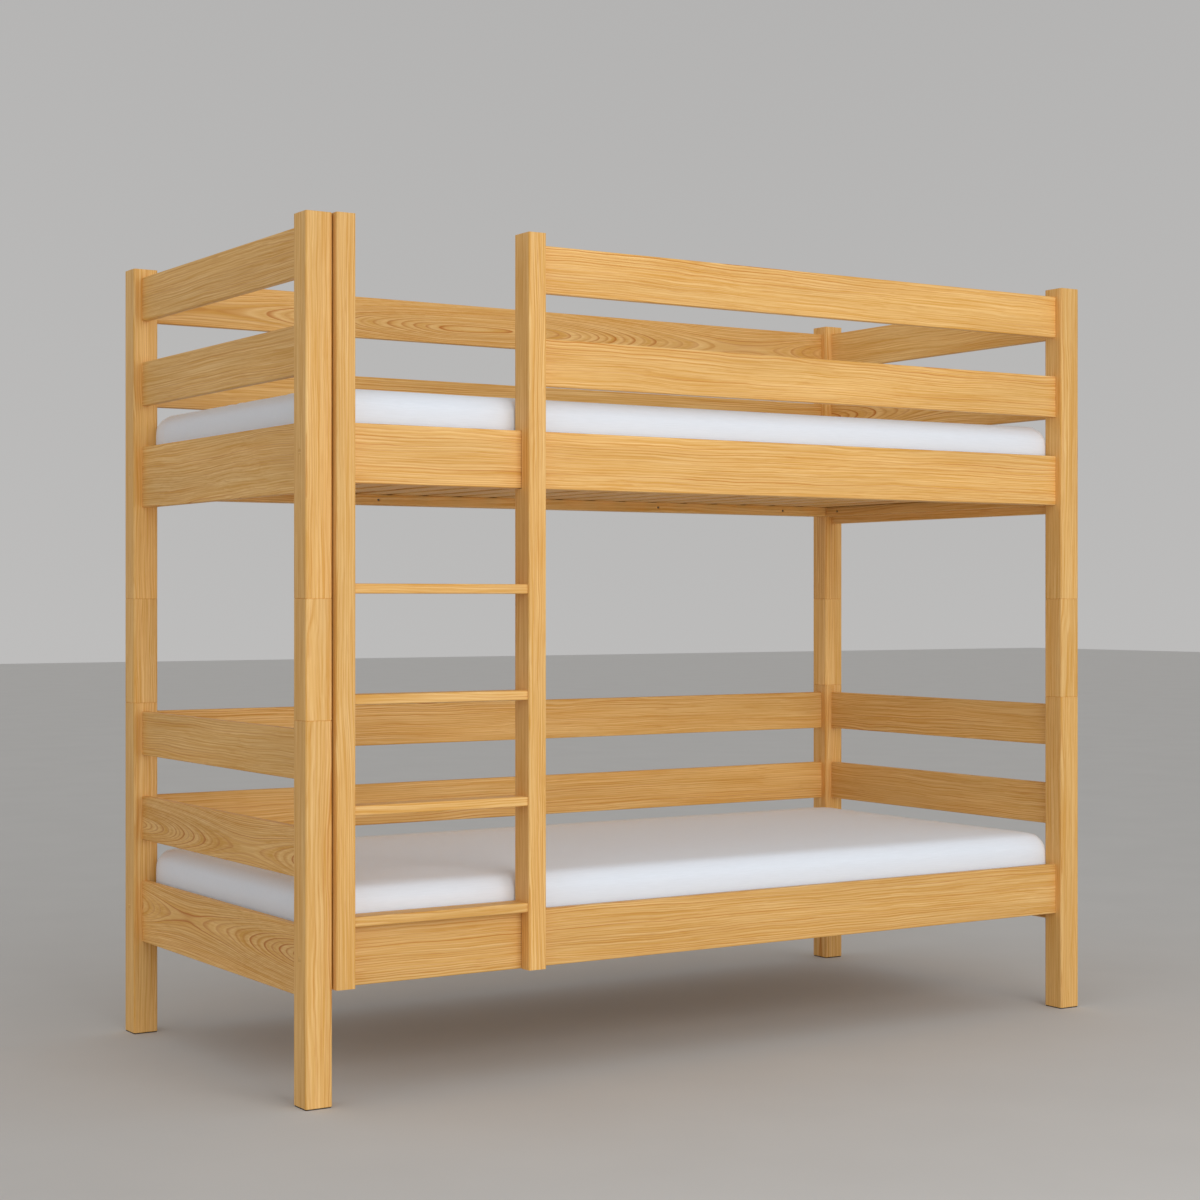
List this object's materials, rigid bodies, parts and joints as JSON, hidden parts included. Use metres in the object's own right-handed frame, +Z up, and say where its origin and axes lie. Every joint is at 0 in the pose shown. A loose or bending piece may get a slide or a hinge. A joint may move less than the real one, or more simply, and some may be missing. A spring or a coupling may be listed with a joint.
{
  "type": "bunk bed with ladder",
  "caption": "Bunk bed of two stacked pine bed frames on square posts, with slatted bases, guard boards, mattresses and an upright ladder at the front left.",
  "frame": {"origin": "floor level under the middle of the whole bed, ladder included", "axes": "+X along the bed from the ladder end to the other end, +Y from the ladder side to the back, +Z up"},
  "size_m": [2.08, 0.992, 1.762],
  "materials": {
    "pine": "clear satin lacquer on honey pine",
    "steel": "dark zinc plated",
    "felt": "dark pressed felt",
    "mattress_cloth": "smooth white woven cotton cover"
  },
  "bodies": {
    "bed_frame": {"lower_post_front_left": "pine", "lower_post_front_right": "pine", "lower_post_back_left": "pine", "lower_post_back_right": "pine", "lower_rail_front": "pine", "lower_rail_back": "pine", "lower_rail_left": "pine", "lower_rail_right": "pine", "lower_batten_front": "pine", "lower_batten_back": "pine", "lower_batten_left": "pine", "lower_batten_right": "pine", "lower_guard_low_back": "pine", "lower_guard_high_back": "pine", "lower_guard_low_left": "pine", "lower_guard_high_left": "pine", "lower_guard_low_right": "pine", "lower_guard_high_right": "pine", "lower_slats": "pine", "upper_post_front_left": "pine", "upper_post_front_right": "pine", "upper_post_back_left": "pine", "upper_post_back_right": "pine", "upper_rail_front": "pine", "upper_rail_back": "pine", "upper_rail_left": "pine", "upper_rail_right": "pine", "upper_batten_front": "pine", "upper_batten_back": "pine", "upper_batten_left": "pine", "upper_batten_right": "pine", "upper_guard_low_front": "pine", "upper_guard_high_front": "pine", "upper_guard_low_back": "pine", "upper_guard_high_back": "pine", "upper_guard_low_left": "pine", "upper_guard_high_left": "pine", "upper_guard_low_right": "pine", "upper_guard_high_right": "pine", "upper_slats": "pine", "spacer_front_left": "pine", "spacer_front_right": "pine", "spacer_back_left": "pine", "spacer_back_right": "pine", "ladder_stile_left": "pine", "ladder_stile_right": "pine", "ladder_tread_1": "pine", "ladder_tread_2": "pine", "ladder_tread_3": "pine", "ladder_tread_4": "pine", "felt_pads": "felt", "stacking_pins": "pine", "frame_bolts": "steel", "barrel_nuts": "steel", "bolt_plugs": "pine", "batten_screws": "steel", "slat_screws": "steel", "ladder_bolts": "steel"},
    "upper_mattress_body": {"upper_mattress": "mattress_cloth"},
    "lower_mattress_body": {"lower_mattress": "mattress_cloth"}
  },
  "joints": [
    {"name": "upper_mattress_lift", "type": "slide", "parent": "bed_frame", "child": "upper_mattress_body", "axis": [0, 0, 1], "range_m": [0, 0.5]},
    {"name": "lower_mattress_lift", "type": "slide", "parent": "bed_frame", "child": "lower_mattress_body", "axis": [0, 0, 1], "range_m": [0, 0.12]}
  ]
}
